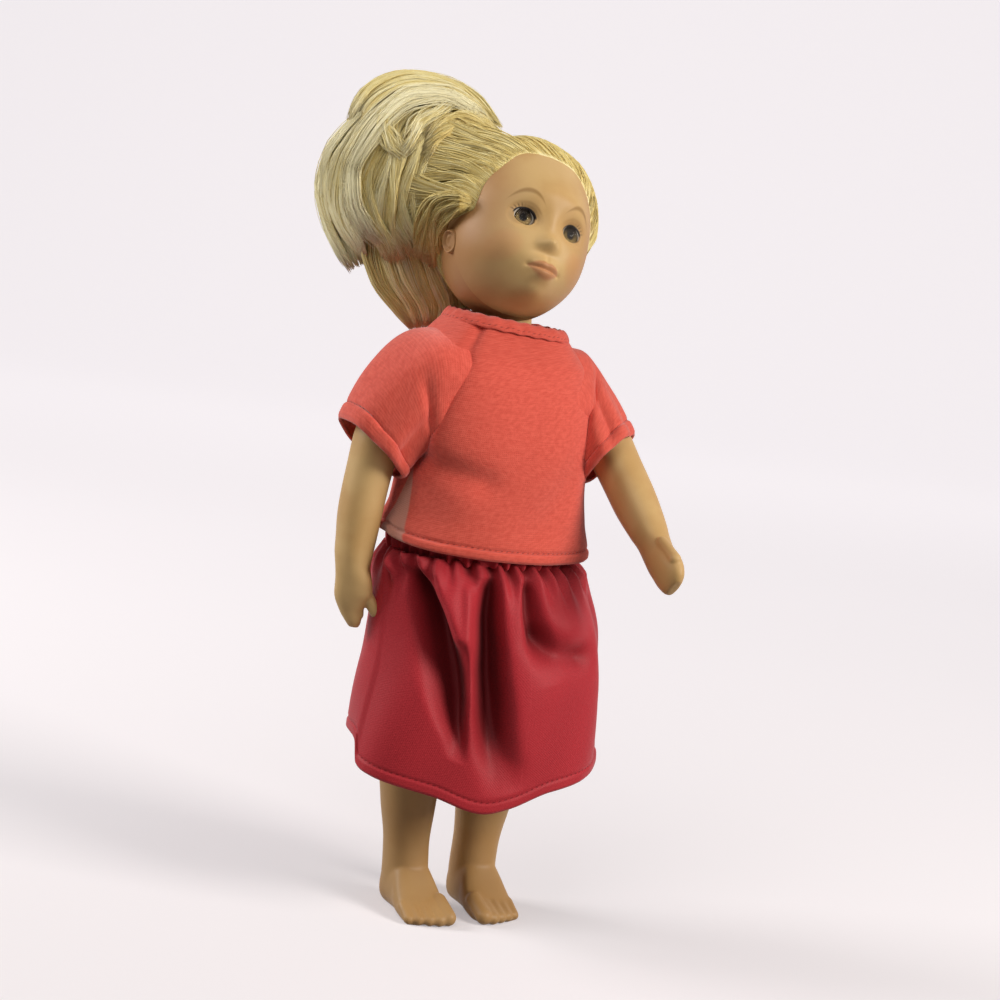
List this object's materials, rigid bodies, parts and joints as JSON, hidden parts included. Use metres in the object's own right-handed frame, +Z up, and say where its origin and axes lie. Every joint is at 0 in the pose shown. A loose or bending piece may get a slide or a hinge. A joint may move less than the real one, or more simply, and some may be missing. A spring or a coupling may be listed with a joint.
{
  "type": "miniature doll",
  "caption": "Small jointed vinyl doll standing in a coral knit shirt and a gathered burgundy satin skirt, with a curly blonde side ponytail.",
  "frame": {"origin": "middle of the footprint of the doll's bounding box, on the floor under the soles", "axes": "+Z up from the soles to the hair, -Y the way the doll faces, +X towards its own left"},
  "size_m": [0.0612, 0.0708, 0.1602],
  "materials": {
    "vinyl_skin": "semi-matte tan vinyl",
    "joint_plastic": "smooth moulded plastic",
    "shirt_knit": "fine cotton knit",
    "closure_tape": "hook and loop tape",
    "skirt_satin": "satin weave",
    "elastic": "woven elastic",
    "hair_fibre": "glossy synthetic fibre",
    "eye_white": "polished",
    "eye_iris": "printed disc",
    "eye_lens": "clear polished"
  },
  "bodies": {
    "torso": {"torso_front_shell": "vinyl_skin", "torso_back_shell": "vinyl_skin", "neck_post": "vinyl_skin", "hip_axle": "joint_plastic", "shirt_body": "shirt_knit", "shirt_neckband": "shirt_knit", "closure_hook_tape": "closure_tape", "closure_loop_tape": "closure_tape", "skirt_waist_casing": "skirt_satin", "waist_elastic": "elastic", "skirt_left_side": "skirt_satin", "skirt_right_side": "skirt_satin"},
    "head": {"head_shell": "vinyl_skin", "left_eye_ball": "eye_white", "left_eye_iris": "eye_iris", "left_eye_lens": "eye_lens", "right_eye_ball": "eye_white", "right_eye_iris": "eye_iris", "right_eye_lens": "eye_lens", "hair_cap": "hair_fibre", "hair_tie": "elastic", "hair_ponytail": "hair_fibre", "hair_neck_lock": "hair_fibre"},
    "left_arm": {"left_arm": "vinyl_skin", "left_shoulder_peg": "joint_plastic", "left_sleeve": "shirt_knit"},
    "right_arm": {"right_arm": "vinyl_skin", "right_shoulder_peg": "joint_plastic", "right_sleeve": "shirt_knit"},
    "left_leg": {"left_leg": "vinyl_skin"},
    "right_leg": {"right_leg": "vinyl_skin"}
  },
  "joints": [
    {"name": "neck_turn", "type": "hinge", "parent": "torso", "child": "head", "pos_m": [0.00181, 0.00473, 0.113], "axis": [0, 0, -1], "range_deg": [-80, 80]},
    {"name": "left_shoulder", "type": "hinge", "parent": "torso", "child": "left_arm", "pos_m": [0.01611, 0.00473, 0.1035], "axis": [-1, 0, 0], "range_deg": [-30, 80]},
    {"name": "right_shoulder", "type": "hinge", "parent": "torso", "child": "right_arm", "pos_m": [-0.01249, 0.00473, 0.1035], "axis": [-1, 0, 0], "range_deg": [-50, 125]},
    {"name": "left_hip", "type": "hinge", "parent": "torso", "child": "left_leg", "pos_m": [0.01071, 0.00473, 0.062], "axis": [-1, 0, 0], "range_deg": [-30, 85], "deforming": ["skirt_left_side"]},
    {"name": "right_hip", "type": "hinge", "parent": "torso", "child": "right_leg", "pos_m": [-0.00709, 0.00473, 0.062], "axis": [-1, 0, 0], "range_deg": [-30, 85], "deforming": ["skirt_right_side"]}
  ]
}
